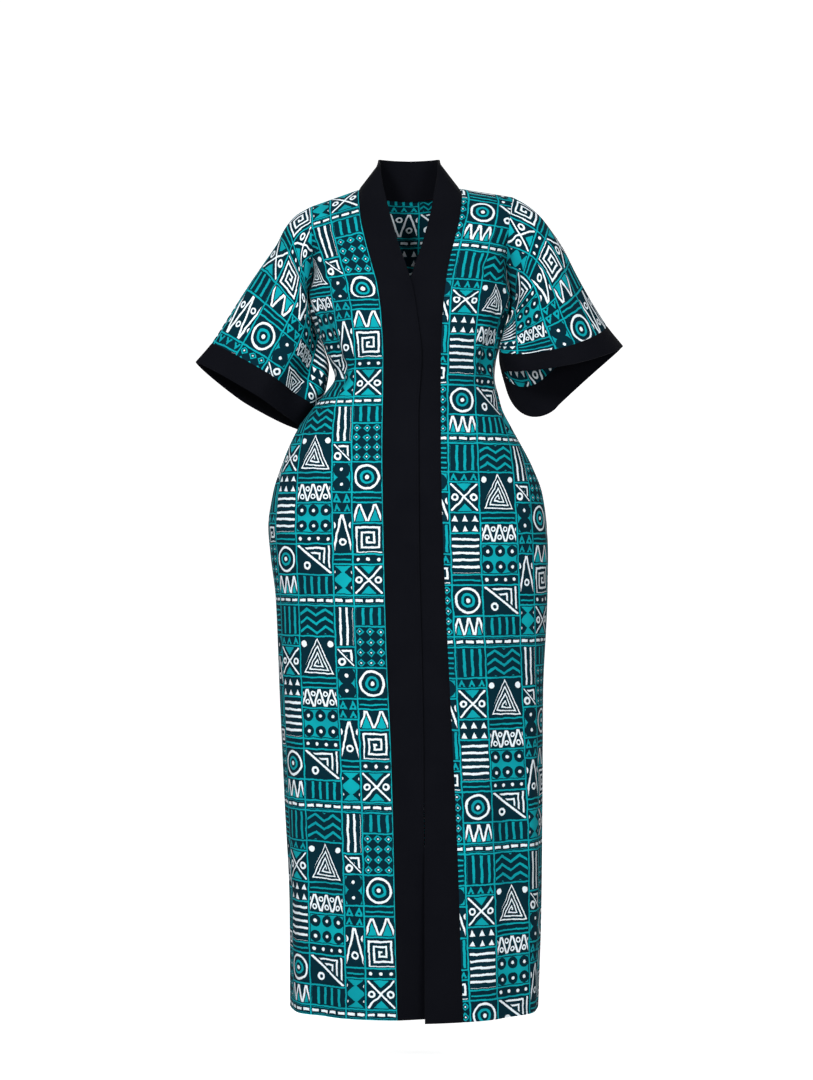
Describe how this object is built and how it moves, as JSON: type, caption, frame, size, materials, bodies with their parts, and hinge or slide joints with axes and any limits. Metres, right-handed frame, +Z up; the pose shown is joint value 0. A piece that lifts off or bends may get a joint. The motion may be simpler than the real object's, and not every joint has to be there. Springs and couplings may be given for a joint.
{
  "type": "floor-length duster coat",
  "caption": "Long open-front coat with wide elbow-length sleeves, a plain band up both fronts and round the neck, and plain cuffs, in the hollow form it has when worn",
  "frame": {"origin": "midway between the two points where the shoulder seams meet the neck band, where the wearer's shoulders carry the coat", "axes": "+Z up along the coat's length, the front faces -Y, +X is the wearer's left"},
  "size_m": [0.7453, 0.3155, 1.4839],
  "materials": {
    "print_cloth": "matt cotton with a printed patchwork of teal, navy and white",
    "band_cloth": "matt black cotton, two layers with a stiffener between"
  },
  "bodies": {
    "root": {"back": "print_cloth", "front_right": "print_cloth", "front_left": "print_cloth", "sleeve_right": "print_cloth", "sleeve_left": "print_cloth", "cuff_right": "band_cloth", "cuff_left": "band_cloth", "band_right": "band_cloth", "band_left": "band_cloth"}
  },
  "joints": []
}
